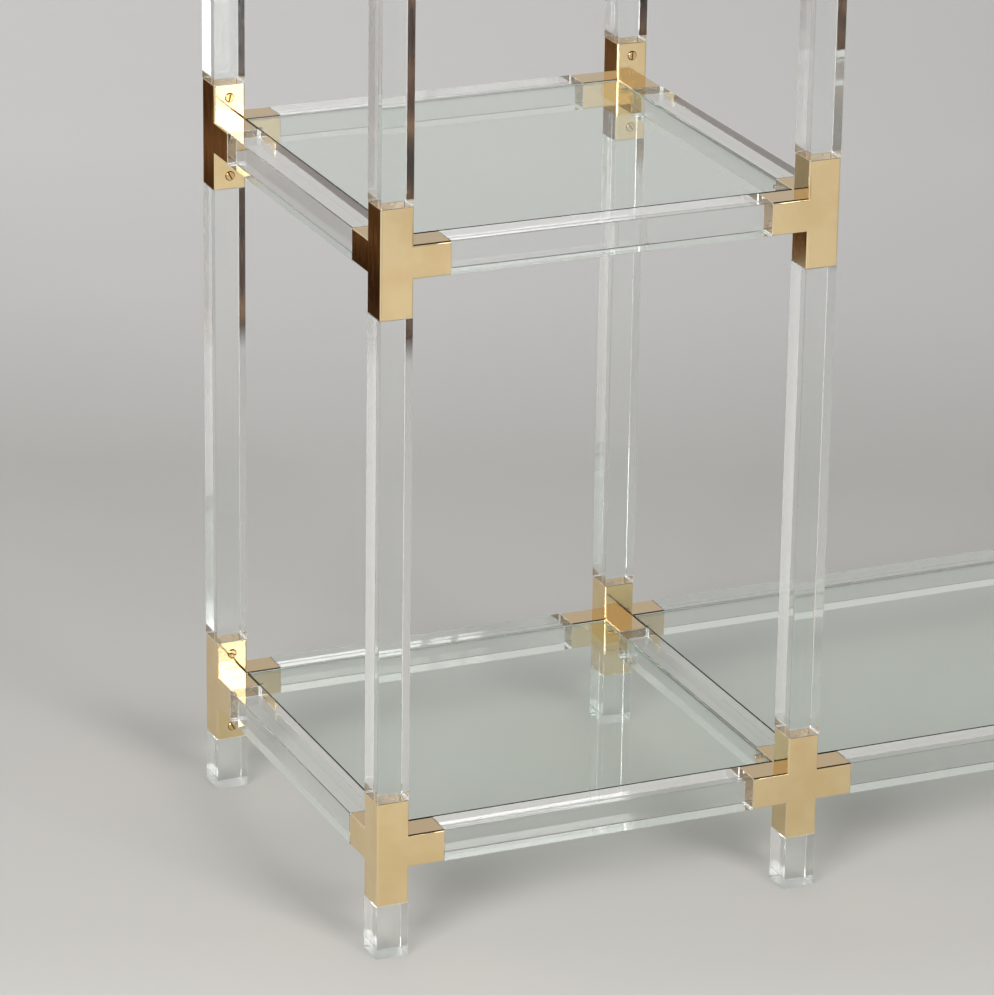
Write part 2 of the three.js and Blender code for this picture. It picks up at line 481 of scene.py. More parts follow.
@dataclass(frozen=True)
class PolishedBrass:
    """Cast and drawn brass, soldered, filed flush and buffed: a warm mirror with soft waves."""

    colour: str = "FAE1AF"
    cloud_colour: str = "F4D8A4"
    roughness: Span = (0.05, 0.1)
    metal: float = 1.0  # less for a partly matt surface, as in the bore, whose pale colour is painted light
    cloud: Pattern = Pattern(34.0, detail=3.0)  # patches of handling and lacquer
    cloud_range: Span = (0.35, 0.6)
    smudge: Pattern = Pattern(9.0, detail=4.0)
    # Drawing leaves long shallow ripples, which turn a mirror image into streaks.
    ripple: Pattern = Pattern(7.0, 90.0, 0.09)
    # Real hairlines are finer, and these are as coarse as the picture can show.
    scratch: Pattern = Pattern(0.7, 12.0, 0.01, strength=0.3)
    scratch_turn: float = 24.0  # degrees from the axes
    scratch_dulling: float = 0.1  # roughness that a hairline adds
    top_shade_colour: str = "D6BE97"  # painted shade: a duller tone on the faces that look up, which darkens what they mirror
    top_shade_rise: Span = (0.8, 1.0)  # how far up a face looks where the painted shade starts, and where it is whole

    def material(self, name: str) -> bpy.types.Material:
        """Makes the finish.

        Clouds of old lacquer change the tone, smudges dull the mirror, hairlines catch light, and
        faces that look up get a duller tone, which is painted shade.

        Args:
            name: the material's name.

        Returns:
            The material.
        """
        material, tree, place = new_material(name)
        colours = (linear(self.cloud_colour), linear(self.colour))
        metal = self.cloud.tones(tree, place, list(zip(self.cloud_range, colours)))
        normal = add_node(tree, "NewGeometry").outputs["Normal"]
        rise = add_node(tree, "SeparateXYZ", Vector=normal).outputs["Z"]
        start, whole = self.top_shade_rise
        # Painted shade: faces that look up are mixed towards a duller tone.
        top_shade = add_node(tree, "MapRange", i0=rise, i1=start, i2=whole).outputs["Result"]
        top_shade_tone = linear(self.top_shade_colour)
        tone = add_node(tree, "Mix", {"data_type": "RGBA"}, i0=top_shade, i6=metal, i7=top_shade_tone).outputs[2]
        broad = self.ripple.relief(tree, place)
        scratches, fine = self.scratch.scratches(tree, place, self.scratch_turn, broad)
        smooth, dull = self.roughness
        smudges = self.smudge.noise(tree, place)
        base = add_node(tree, "MapRange", i0=smudges, i3=smooth, i4=dull).outputs["Result"]
        scratched = {"i0": scratches, "i1": self.scratch_dulling, "i2": base}
        rough = add_node(tree, "Math", {"operation": "MULTIPLY_ADD"}, **scratched).outputs[0]
        shader = add_node(
            tree, "BsdfPrincipled", Base_Color=tone, Metallic=self.metal, Roughness=rough, Normal=fine
        )
        add_node(tree, "OutputMaterial", Surface=shader.outputs["BSDF"])
        return material


@dataclass(frozen=True)
class CastAcrylic:
    """Cast acrylic sheet sawn to square bars and diamond polished all round: water clear, a little wavy."""

    colour: str = "FBFDFC"
    passes: Colour = (0.76, 0.77, 0.765, 1.0)  # the share of lamp light that goes on through one face
    index: float = 1.49
    clearness: float = 1.0
    roughness: Span = (0.0, 0.03)  # clean, and under a finger mark
    mark: Pattern = Pattern(14.0, detail=3.0)
    mark_range: Span = (0.45, 0.75)
    wave: Pattern = Pattern(11.0, 260.0, 0.02, 0.0)
    wheel: Pattern = Pattern(3.2, 500.0, 0.014)  # the polishing wheel's own lines, much longer than wide
    scratch: Pattern = Pattern(0.8, 30.0, 0.01, strength=0.15)  # as coarse as the picture can show
    scratch_turn: float = 8.0  # degrees from the axes

    def material(self, name: str, axis: int = 2) -> bpy.types.Material:
        """Makes the finish.

        Polishing along the bar leaves long shallow waves that bend the view, and hairlines and
        finger marks scatter a little light.

        Args:
            name: the material's name.
            axis: the axis that the bar runs along.

        Returns:
            The material.
        """
        material, tree, place = new_material(name)
        waves = self.wave.relief(tree, place, axis)
        broad = self.wheel.relief(tree, place, axis, Normal=waves)
        _, fine = self.scratch.scratches(tree, place, self.scratch_turn, broad)
        rough = self.mark.tones(tree, place, list(zip(self.mark_range, self.roughness)))
        shader = add_node(
            tree, "BsdfPrincipled", Base_Color=linear(self.colour), Roughness=rough, IOR=self.index,
            Transmission_Weight=self.clearness, Normal=fine,
        )
        add_node(tree, "OutputMaterial", Surface=see_through(tree, shader, self.passes))
        return material


@dataclass(frozen=True)
class FloatGlass:
    """Float glass, cut and with ground edges: clear through its faces, green along its edges."""

    colour: str = "F8FBF9"
    roughness: Span = (0.0, 0.035)  # clean, and under a finger mark
    passes: Colour = (0.96, 0.965, 0.96, 1.0)  # the share of lamp light that goes on through one face
    index: float = 1.52
    body_colour: str = "6CD2A0"
    density: float = 8.5  # per metre, of the green that iron gives it
    mark: Pattern = Pattern(22.0, detail=5.0)
    mark_range: Span = (0.5, 0.8)
    wave: Pattern = Pattern(160.0, height=0.1, detail=0.0, strength=0.1)

    def material(self, name: str) -> bpy.types.Material:
        """Makes the finish: a true mirror with faint finger marks, over a body that tints deep views.

        Args:
            name: the material's name.

        Returns:
            The material.
        """
        material, tree, place = new_material(name)
        rough = self.mark.tones(tree, place, list(zip(self.mark_range, self.roughness)))
        waves = self.wave.relief(tree, place)
        shader = add_node(
            tree, "BsdfPrincipled", Base_Color=linear(self.colour), Roughness=rough, IOR=self.index,
            Transmission_Weight=1.0, Normal=waves,
        )
        surface = see_through(tree, shader, self.passes)
        body = add_node(tree, "VolumeAbsorption", Color=linear(self.body_colour), Density=self.density)
        add_node(tree, "OutputMaterial", Surface=surface, Volume=body.outputs["Volume"])
        return material


class Finishes:
    """Every material of the object, made once."""

    def __init__(self) -> None:
        """Makes them."""
        self.brass = PolishedBrass().material("polished_brass")
        # Edges and mouths are rubbed brighter by every hand and cloth.
        self.edge = PolishedBrass("F6E0B4", "F1D8A8", (0.03, 0.06)).material("rubbed_brass")
        # The inside of the tube is rougher and partly matt, and its pale cream colour is painted light that
        # lightens the mouths.
        self.bore = PolishedBrass("F8E6CF", "ECD5B6", (0.22, 0.34), 0.4).material("bore_brass_painted_light")
        # Turned heads have never been buffed, so they are deeper in tone and softer.
        self.screw = PolishedBrass("ECCB92", "DDB77C", (0.1, 0.18)).material("turned_brass")
        # Slots and a thin ring about each head are dark brown.
        self.dark_slot_brass = PolishedBrass("6B4A26", "4A3018", (0.4, 0.6)).material("dark_slot_and_ring")
        # A bar is polished along its own length, so there is one material for each way that bars run.
        self.acrylic = [CastAcrylic().material(f"cast_acrylic_{way}", axis) for axis, way in enumerate("xyz")]
        # Sawn shoulders and ends of tenons are frosted.
        self.sawn = CastAcrylic(clearness=0.8, roughness=(0.38, 0.45)).material("sawn_acrylic")
        self.glass = FloatGlass().material("float_glass")
        # Ground edges are satin, and show the green of the glass.
        self.ground = FloatGlass("B2DCC4", (0.22, 0.34)).material("ground_glass")


# Pieces


@dataclass(frozen=True)
class Fastener:
    """Where a screw or a pin stands: on which arm of a sleeve and on which of its faces."""

    arm: Way
    face: Way


@dataclass
class Shank:
    """The round part of a screw or a pin, which runs through the wall of a sleeve into the tenon."""

    shank_radius: float = 2.0
    shank_depth: float = 9.0
    inset: float = 12.0  # from the mouth of the arm
    rise: float = 0.0  # above the arm's centre line

    def entry(self, fastener: Fastener, reach: float, half: float) -> np.ndarray:
        """Where the shank enters a sleeve.

        Args:
            fastener: the arm and the face that it stands on.
            reach: from the centre of the sleeve to the mouth of the arm.
            half: from the centre of the arm to the face.

        Returns:
            The place, from the centre of the sleeve.
        """
        on_face = (reach - self.inset) * fastener.arm.vector + half * fastener.face.vector
        return on_face + self.rise * Way.UP.vector


@dataclass
class SlottedScrew(Shank):
    """A slotted screw with a low head. Its head stands on the sleeve, and its shank runs into the tenon."""

    head_radius: float = 3.9
    head_height: float = 1.0
    rim: float = 0.22
    ring_radius: float = 4.5  # a thin dark brown ring about the head
    ring_height: float = 0.05
    slot_width: float = 1.1
    slot_depth: float = 0.6
    tip: float = 1.0
    steps: int = 10  # in half of a lune
    end_steps: int = 2  # across each end of the slot

    def add_to(self, skin: Skin, turn: np.ndarray, place: np.ndarray) -> None:
        """Adds the screw to a skin.

        The top has two lunes beside the slot, each a grid of straight lines from the slot's edge to
        the rim. The rim, wall, underside and shank are rings that follow the same angles.

        Args:
            skin: where it goes.
            turn: a matrix whose columns are the screw's own axes, with its head along the third.
            place: the foot of its head.
        """
        half = self.slot_width / 2
        inner = self.head_radius - self.rim
        floor = self.head_height - self.slot_depth
        shoulder = self.head_height - self.rim
        start = math.asin(half / self.head_radius)
        lune = np.linspace(start, math.pi - start, 2 * self.steps + 1)
        end = np.linspace(-start, start, self.end_steps + 1)
        ends = (end, math.pi + end)

        def put(x: object, y: object, z: object) -> np.ndarray:
            """Points of the screw, in the sleeve's own axes."""
            return along((0, 1, 2), x, y, z) @ turn.T + place

        def rings(angles: np.ndarray, *sections: Span) -> np.ndarray:
            """Arcs of points at the same angles, each at a radius and a height."""
            return np.stack([put(r * np.cos(angles), r * np.sin(angles), height) for r, height in sections])

        for side in (1, -1):
            angles = side * lune
            x = np.sqrt(inner**2 - half**2) * np.cos(angles) / math.cos(start)
            edge = put(x, side * half, self.head_height)
            top = put(x, side * np.sqrt(np.maximum(inner**2 - x**2, half**2)), self.head_height)
            skin.grid(np.stack([edge, top]))
            wall = [(self.head_radius, height) for height in (shoulder, floor, self.ring_height)]
            skin.grid(np.concatenate([top[None], rings(angles, *wall)]))
            rims, corners = rings(angles[[0, -1]], *wall[:2])
            slot_side = np.concatenate([corners[:1], rims[:1], edge, rims[1:], corners[1:]])
            skin.face(slot_side, finish=1)
        skin.face(rings(np.concatenate(ends), (self.head_radius, floor))[0], finish=1)
        for angles in ends:
            skin.grid(rings(angles, (self.head_radius, floor), (self.head_radius, self.ring_height)))
        around = np.concatenate([end[:-1], lune[:-1], math.pi + end[:-1], -lune[::-1][:-1]])
        dark_ring = rings(
            around,
            (self.head_radius, self.ring_height),
            (self.ring_radius, self.ring_height),
            (self.ring_radius, 0),
        )
        stem = rings(
            around,
            (self.ring_radius, 0),
            (self.shank_radius, 0),
            (self.shank_radius, self.tip - self.shank_depth),
            (self.shank_radius - self.tip, -self.shank_depth),
        )
        skin.grid(dark_ring, closed=True, finish=1)
        skin.grid(stem, closed=True)
        skin.face(stem[-1])


@dataclass
class RestPin(Shank):
    """A plain brass pin that locks a side rail and stands proud under the pane that it carries."""

    shank_radius: float = 2.25
    inset: float = 10.0
    rise: float = 6.55  # so that the pane lies level with the rails
    proud: float = 7.0
    round_end: float = 0.5
    sides: int = 28
    end_steps: int = 4  # over the rounded end

    def add_to(self, skin: Skin, turn: np.ndarray, place: np.ndarray) -> None:
        """Adds the pin to a skin: rings of one radius with a rounded free end.

        Args:
            skin: where it goes.
            turn: a matrix whose columns are the pin's own axes, with its free end along the third.
            place: where it leaves the sleeve.
        """
        angles = np.linspace(0, 2 * math.pi, self.sides, endpoint=False)
        free = self.round_end * (1 - on_circle(quarter_turn(self.end_steps)))
        radii = np.append(self.shank_radius, self.shank_radius - free[:, 0])[:, None]
        heights = np.append(-self.shank_depth, self.proud - free[:, 1])[:, None]
        rings = along((0, 1, 2), radii * np.cos(angles), radii * np.sin(angles), heights)
        skin.bar(rings @ turn.T + place)


@dataclass
class BrassSleeve:
    """A hollow brass corner: a cube with an arm of square tube for each bar that meets there."""

    name: str
    node: str
    centre: np.ndarray
    arms: list[Way] = field(default_factory=list)
    screws: list[Fastener] = field(default_factory=list)
    pins: list[Fastener] = field(default_factory=list)
    half: float = 15.0
    corner: float = 2.0
    wall: float = 1.5
    reach: float = 48.5  # from the centre to the mouth of each arm
    burr: float = 0.25  # the file's touch along the mouth
    steps: int = 8  # round each edge
    screw: SlottedScrew = field(default_factory=SlottedScrew)
    pin: RestPin = field(default_factory=RestPin)

    def has(self, axis: int, sign: int) -> bool:
        """Whether an arm leaves along an axis."""
        return Way((axis, sign)) in self.arms

    def edges(self, skin: Skin) -> None:
        """Adds the rounded long edges.

        Each is a quarter circle carried along its axis. Beside an arm it starts on the mitre, where
        its distance from the centre equals its own coordinate towards that arm.

        Args:
            skin: where they go.
        """
        flat = self.half - self.corner
        mouth = self.reach - self.burr
        u, v = flat + self.corner * on_circle(quarter_turn(self.steps)).T
        for axis, side_u, side_v in product(range(3), (-1, 1), (-1, 1)):
            axes = in_turn(axis)
            beside_u, beside_v = self.has(axes[1], side_u), self.has(axes[2], side_v)
            if not (beside_u or beside_v):
                ends = [sign * (mouth if self.has(axis, sign) else flat) for sign in (-1, 1)]
                skin.grid(along(axes, np.array(ends)[:, None], side_u * u, side_v * v), finish=1)
                continue
            start = np.maximum(u * beside_u, v * beside_v)
            for sign in (-1, 1):
                if self.has(axis, sign):
                    rows = sign * np.stack([start, np.full_like(start, mouth)])
                    skin.grid(along(axes, rows, side_u * u, side_v * v), finish=1)

    def corners(self, skin: Skin) -> None:
        """Adds an eighth of a sphere at each corner of the cube that no arm touches.

        Args:
            skin: where they go.
        """
        turn = quarter_turn(self.steps)
        across, up = np.sin(turn[:, None]), np.cos(turn[:, None])
        ball = along((0, 1, 2), across * np.cos(turn), across * np.sin(turn), up)
        for octant in product((-1, 1), repeat=3):
            if not any(self.has(axis, sign) for axis, sign in enumerate(octant)):
                skin.grid(octant * (self.half - self.corner + self.corner * ball), finish=1)

    def plates(self, skin: Skin, height: float, half: float, finish: int) -> None:
        """Adds the flat faces at a height from the centre: a square with a tongue along each arm.

        A side that an arm leaves has only the faces of the other arms that look the same way.

        Args:
            skin: where they go.
            height: from the centre to the faces.
            half: half of the width of each flat.
            finish: the number of the material.
        """
        mouth = self.reach - self.burr
        tongue = (np.array([height, mouth, mouth, height]), half * np.array([-1, -1, 1, 1]))
        for axis, sign in product(range(3), (-1, 1)):
            _, p, q = in_turn(axis)
            ways = [(p, 1), (q, 1), (p, -1), (q, -1)]
            outline = []
            for (run, side), (other, turn) in zip(ways, ways[1:] + ways[:1]):
                armed = self.has(run, side)
                if armed and self.has(axis, sign):
                    skin.face(along((axis, run, other), sign * height, side * tongue[0], tongue[1]), finish)
                    continue
                if armed:
                    outline += [(run, side * mouth, other, edge * half) for edge in (-turn, turn)]
                if armed == self.has(other, turn):
                    outline.append((run, side * half, other, turn * half))
            if not self.has(axis, sign):
                corners = [along((axis, run, other), sign * height, a, b) for run, a, other, b in outline]
                skin.face(np.array(corners), finish)

    def mouths(self, skin: Skin) -> None:
        """Adds the rim of each arm: a touched outer edge, the cut end of the tube and the edge of the bore.

        Args:
            skin: where they go.
        """
        columns = self.steps + 1
        outer = rounded_square(self.half, self.corner, self.steps)
        lip = rounded_square(self.half - self.burr, self.corner - self.burr, self.steps)
        square = np.array([(1, 1), (-1, 1), (-1, -1), (1, -1)])
        bore = self.half - self.wall
        for arm in self.arms:
            axis, sign = arm.value
            axes = in_turn(axis)

            def ring(loop: np.ndarray, back: float = 0.0) -> np.ndarray:
                """A loop in the plane of the mouth, or some way back from it."""
                return along(axes, sign * (self.reach - back), loop[:, 0], loop[:, 1])

            rim, hole = ring(lip), ring((bore + self.burr) * square)
            skin.grid(np.stack([ring(outer, self.burr), rim]), closed=True, finish=1)
            skin.grid(np.stack([hole, ring(bore * square, self.burr)]), closed=True)
            for quarter in range(4):
                last = (quarter + 1) * columns - 1
                following = (last + 1) % len(rim)
                skin.face(np.concatenate([rim[quarter * columns : last + 1], hole[quarter : quarter + 1]]))
                skin.face(np.stack([rim[last], rim[following], hole[(quarter + 1) % 4], hole[quarter]]))

    def build(self, finishes: Finishes, first_turn: int) -> None:
        """Makes the sleeve, its screws and its pins.

        Args:
            finishes: the materials.
            first_turn: how many fasteners come before, which sets how each screw's slot lies.
        """
        skin = Skin()
        self.edges(skin)
        self.corners(skin)
        self.plates(skin, self.half, self.half - self.corner, 0)
        self.plates(skin, self.half - self.wall, self.half - self.wall, 2)
        self.mouths(skin)
        materials = [finishes.brass, finishes.edge, finishes.bore]
        dressed(skin.build(f"brass_sleeve_{self.name}", self.centre, materials), Slot.BRASS, self.node)
        for form, fasteners, label in ((self.screw, self.screws, "screws"), (self.pin, self.pins, "pins")):
            held = Skin()
            for number, fastener in enumerate(fasteners, first_turn):
                turn = facing(fastener.face, number * GOLDEN_ANGLE)
                form.add_to(held, turn, form.entry(fastener, self.reach, self.half))
            if fasteners:
                materials = [finishes.screw, finishes.dark_slot_brass]
                dressed(held.build(f"{label}_{self.name}", self.centre, materials), Slot.BRASS)


@dataclass
class AcrylicBar:
    """A square acrylic bar from one sleeve to the next, or to the floor, with a tenon at each sleeve."""

    node: str
    start: np.ndarray
    way: Way
    length: float
    near: list[Fastener]
    far: list[Fastener] | None = None
    half: float = 15.0
    edge: float = 0.8
    steps: int = 5  # round each edge
    reach: float = 48.5  # from the centre of a sleeve to the end of its arm
    seat: float = 0.2  # from there to the shoulder
    touch: float = 0.3  # the shoulder's own small chamfer
    tenon: float = 13.2
    tenon_start: float = 15.5
    hole_fit: float = 0.25
    hole_extra: float = 0.5
    hole_sides: int = 24
    drill_start: float = 1.0  # outside the sleeve's face, well clear of the tenon
    screw: SlottedScrew = field(default_factory=SlottedScrew)
    pin: RestPin = field(default_factory=RestPin)

    def stations(self) -> list[tuple[float, float, int]]:
        """The sections along the bar.

        Returns:
            For each its distance, its half width and the number of the finish up to the next one.
        """
        shoulder = self.reach + self.seat
        near = [
            (self.tenon_start, self.tenon, 0),
            (shoulder, self.tenon, 1),
            (shoulder, self.half - self.touch, 0),
            (shoulder + self.touch, self.half, 0),
        ]
        if self.far is None:
            return near + [(self.length - self.touch, self.half, 0), (self.length, self.half - self.touch, 0)]
        far = [(self.length - distance, half, 0) for distance, half, _ in reversed(near)]
        far[1] = (*far[1][:2], 1)
        return near + far

    def drills(self, form: Shank) -> Skin:
        """The drills that cut the holes: a plain round bar for each fastener at either end.

        Args:
            form: the screw or the pin that holds this bar.

        Returns:
            A skin, from the start of the bar.
        """
        skin = Skin()
        angles = np.linspace(0, 2 * math.pi, self.hole_sides, endpoint=False)
        circle = (form.shank_radius + self.hole_fit) * on_circle(angles)
        heights = np.array([[-form.shank_depth - self.hole_extra], [self.drill_start]])
        loops = along((0, 1, 2), circle[:, 0], circle[:, 1], heights)
        for distance, fasteners in ((0.0, self.near), (self.length, self.far or [])):
            for fastener in fasteners:
                place = distance * self.way.vector + form.entry(fastener, self.reach, self.half)
                skin.bar(loops @ facing(fastener.face, 0).T + place)
        return skin

    def build(self, finishes: Finishes) -> None:
        """Makes the bar: a rounded square carried along its way through its stations, then drilled.

        Args:
            finishes: the materials.
        """
        skin = Skin()
        axis, sign = self.way.value
        axes = in_turn(axis)
        stations = self.stations()
        loops = []
        for distance, half, _ in stations:
            loop = rounded_square(half, self.edge, self.steps)
            loops.append(along(axes, sign * distance, loop[:, 0], loop[:, 1]))
        for before, after, (_, _, finish) in zip(loops, loops[1:], stations):
            skin.grid(np.stack([before, after]), closed=True, finish=finish)
        skin.face(loops[0], finish=1)
        skin.face(loops[-1], finish=1)
        bar = skin.build(f"acrylic_{self.node}", self.start, [finishes.acrylic[axis], finishes.sawn])
        form = self.pin if self.way is Way.BACK else self.screw
        drilled(bar, self.drills(form).build("drills", self.start, []))
        dressed(bar, Slot.ACRYLIC, self.node)


@dataclass
class GlassPane:
    """A pane of float glass that rests on the pins, level with the rails, with its arrises ground off."""

    node: str
    arris: float = 0.7
    corner: float = 1.2
    steps: int = 4  # round each corner

    def build(self, finishes: Finishes) -> None:
        """Makes the pane: its outline at four heights, drawn in by the arris at the top and the bottom.

        Args:
            finishes: the materials.
        """
        low, high = (np.array(corner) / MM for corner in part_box(self.node))
        middle, size = (low + high) / 2, (high - low) / 2
        edge = size[2] - self.arris
        loops = []
        for drawn_in, height in ((self.arris, -size[2]), (0, -edge), (0, edge), (self.arris, size[2])):
            outline = rounded_square(size[:2] - drawn_in, self.corner - drawn_in / 2, self.steps)
            loops.append(along((0, 1, 2), outline[:, 0], outline[:, 1], height))
        skin = Skin()
        skin.bar(np.stack(loops), finish=1)
        pane = skin.build(f"glass_{self.node}", middle * MM, [finishes.glass, finishes.ground])
        dressed(pane, Slot.GLASS, self.node)


# The whole object


@dataclass
class Etagere:
    """The tower and its wing, laid out from the places of the model's own nodes."""

    levels: int = 4
    corners: tuple[str, ...] = ("front_left", "front_right", "back_left", "back_right")
    ends: tuple[str, ...] = ("wing_front", "wing_back")
    finishes: Finishes = field(default_factory=Finishes)
    sleeves: dict[str, BrassSleeve] = field(default_factory=dict)
    bars: list[AcrylicBar] = field(default_factory=list)

    def screw_face(self, corner: str, level: int) -> Way:
        """The face of a post's arm that its screw enters, which looks into the bay.

        Args:
            corner: the name of the corner.
            level: the number of the level.

        Returns:
            The face.
        """
        if corner == "back_right" and level == 1:
            return Way.RIGHT
        return Way.BACK if "front" in corner else Way.FRONT

    def add_sleeve(self, name: str, corner: str, level: int) -> None:
        """Sets up a sleeve with no arms yet, over its foot and at the height of its level's rails.

        Args:
            name: its name.
            corner: the corner whose foot stands under it.
            level: the number of the level.
        """
        low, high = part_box(f"foot_{corner}")
        rail_low, rail_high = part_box(f"rail_{level}_front")
        foot = (low + high) / 2
        centre = np.array([foot.x, foot.y, (rail_low.z + rail_high.z) / 2])
        self.sleeves[name] = BrassSleeve(name, f"connector_{name}", centre)

    def join(
        self, node: str, start: str, end: str | None, way: Way, faces: list[list[Way]], pinned: bool = False
    ) -> None:
        """Sets up a bar from one sleeve to another, or to the floor, with its arms and fasteners.

        Args:
            node: the model's node of the bar.
            start: the sleeve that it starts from.
            end: the sleeve that it ends in, or None at the floor.
            way: the direction from start to end.
            faces: for each end, the faces that a fastener enters.
            pinned: whether pins hold it and not screws.
        """
        fasteners = []
        for name, arm, arm_faces in zip((start, end), (way, way.opposite), faces):
            held = [Fastener(arm, face) for face in arm_faces]
            fasteners.append(held)
            sleeve = self.sleeves[name]
            sleeve.arms.append(arm)
            (sleeve.pins if pinned else sleeve.screws).extend(held)
        first = self.sleeves[start].centre
        if end is None:
            length, far = first[2] / MM, None
        else:
            length, far = float(np.abs(self.sleeves[end].centre - first).max() / MM), fasteners[1]
        self.bars.append(AcrylicBar(node, first, way, length, fasteners[0], far))

    def add_level(self, level: int) -> None:
        """Sets up the four rails of one level of the tower.

        Args:
            level: its number, from 1 at the bottom.
        """
        left_front, right_front, left_back, right_back = (f"{level}_{corner}" for corner in self.corners)
        under = [[Way.DOWN], [Way.DOWN]]
        inner = [Way.LEFT, Way.RIGHT] if level == 1 else [Way.LEFT]
        self.join(f"rail_{level}_front", left_front, right_front, Way.RIGHT, under)
        self.join(f"rail_{level}_back", left_back, right_back, Way.RIGHT, under)
        self.join(f"rail_{level}_left", left_front, left_back, Way.BACK, [[Way.RIGHT], [Way.RIGHT]], True)
        self.join(f"rail_{level}_right", right_front, right_back, Way.BACK, [inner, inner], True)

    def add_wing(self) -> None:
        """Sets up the rails of the wing."""
        under = [[Way.DOWN], [Way.DOWN]]
        self.join("rail_wing_front", "1_front_right", "wing_front", Way.RIGHT, under)
        self.join("rail_wing_back", "1_back_right", "wing_back", Way.RIGHT, under)
        self.join("rail_wing_end", "wing_front", "wing_back", Way.BACK, [[Way.LEFT], [Way.LEFT]], True)

    def add_posts(self) -> None:
        """Sets up the post lengths between the levels, and the feet."""
        for bay, corner in product(range(1, self.levels), self.corners):
            faces = [[self.screw_face(corner, bay)], [self.screw_face(corner, bay + 1)]]
            self.join(f"post_{bay}_{corner}", f"{bay}_{corner}", f"{bay + 1}_{corner}", Way.UP, faces)
        feet = [(corner, f"1_{corner}") for corner in self.corners] + [(end, end) for end in self.ends]
        for corner, sleeve in feet:
            self.join(f"foot_{corner}", sleeve, None, Way.DOWN, [[self.screw_face(corner, 1)]])

    def build(self) -> None:
        """Lays everything out and makes every piece."""
        levels = range(1, self.levels + 1)
        for level, corner in product(levels, self.corners):
            self.add_sleeve(f"{level}_{corner}", corner, level)
        for end in self.ends:
            self.add_sleeve(end, end, 1)
        for level in levels:
            self.add_level(level)
        self.add_wing()
        self.add_posts()
        count = 0
        for sleeve in self.sleeves.values():
            sleeve.build(self.finishes, count)
            count += len(sleeve.screws) + len(sleeve.pins)
        for bar in self.bars:
            bar.build(self.finishes)
        for node in [f"pane_{level}" for level in levels] + ["pane_wing"]:
            GlassPane(node).build(self.finishes)


# The studio


def placed(name: str, data: bpy.types.ID, place: Triple, axes: list[np.ndarray]) -> bpy.types.Object:
    """Puts a camera or a lamp into the scene.

    Args:
        name: its name.
        data: the camera or the lamp.
        place: where it stands.
        axes: its own right, up and back.

    Returns:
        The linked object.
    """
    holder = bpy.data.objects.new(name, data)
    turn = Matrix(np.stack(axes, -1).tolist()).to_4x4()
    holder.matrix_world = Matrix.Translation(place) @ turn
    bpy.context.scene.collection.objects.link(holder)
    return holder


@dataclass(frozen=True)
class View:
    """The camera, as a fit to the corners of the brass sleeves gives it."""

    place: Triple = (-2.1476, -3.9793, 1.9590)
    azimuth: float = -23.62
    elevation: float = 20.567
    roll: float = 0.85
    lens: float = 186.4
    sensor: float = 36.0
    clip: Span = (0.1, 100.0)

    def build(self) -> None:
        """Makes the camera and makes it the scene's own."""
        azimuth, elevation, roll = map(math.radians, (self.azimuth, self.elevation, self.roll))
        away = math.cos(elevation)
        back = np.array([math.sin(azimuth) * away, -math.cos(azimuth) * away, math.sin(elevation)])
        level = np.array([math.cos(azimuth), math.sin(azimuth), 0.0])
        upright = np.cross(back, level)
        right = math.cos(roll) * level + math.sin(roll) * upright
        up = -math.sin(roll) * level + math.cos(roll) * upright
        camera = bpy.data.cameras.new("camera")
        camera.lens = self.lens
        camera.sensor_width = self.sensor
        camera.clip_start, camera.clip_end = self.clip
        bpy.context.scene.camera = placed("camera", camera, self.place, [right, up, back])


@dataclass(frozen=True)
class Softbox:
    """A lamp behind a diffuser that looks at the object."""

    name: str
    place: Triple
    size: Span
    brightness: float
    aim: Triple = (-0.4, 0.0, 0.4)  # the lowest bay of the tower
    mirrored: bool = True  # brass, acrylic and glass mirror it
    seen_through: bool = True  # it shows through acrylic and glass
    lights: bool = True  # it lights the floor
    colour: str = "FFFFFF"

    def build(self) -> None:
        """Makes the lamp, out of the camera's own sight. Its power is four times area times brightness."""
        lamp = bpy.data.lights.new(self.name, "AREA")
        lamp.shape = "RECTANGLE"
        lamp.size, lamp.size_y = self.size
        lamp.energy = 4 * self.size[0] * self.size[1] * self.brightness
        lamp.color = linear(self.colour)[:3]
        back = np.array(self.place) - np.array(self.aim)
        back = back / np.linalg.norm(back)
        right = np.cross((0.0, 0.0, 1.0), back)
        right = right / np.linalg.norm(right)
        holder = placed(self.name, lamp, self.place, [right, np.cross(back, right), back])
        holder.visible_camera = False
        holder.visible_diffuse = self.lights
        holder.visible_glossy = self.mirrored
        holder.visible_transmission = self.seen_through


def reflected(tree: Tree) -> Socket:
    """A factor of one for rays that come off polished metal, glass or acrylic and aren't floor light.

    Args:
        tree: the tree that gets its nodes.

    Returns:
        The socket of the factor.
    """
    path = add_node(tree, "LightPath").outputs
    glossy, diffuse = path["Glossy Depth"], path["Is Diffuse Ray"]
    mirrored = add_node(tree, "Math", {"operation": "GREATER_THAN"}, i0=glossy, i1=0.5).outputs[0]
    sharp = add_node(tree, "Math", {"operation": "SUBTRACT"}, i0=1.0, i1=diffuse).outputs[0]
    return add_node(tree, "Math", {"operation": "MULTIPLY"}, i0=mirrored, i1=sharp).outputs[0]


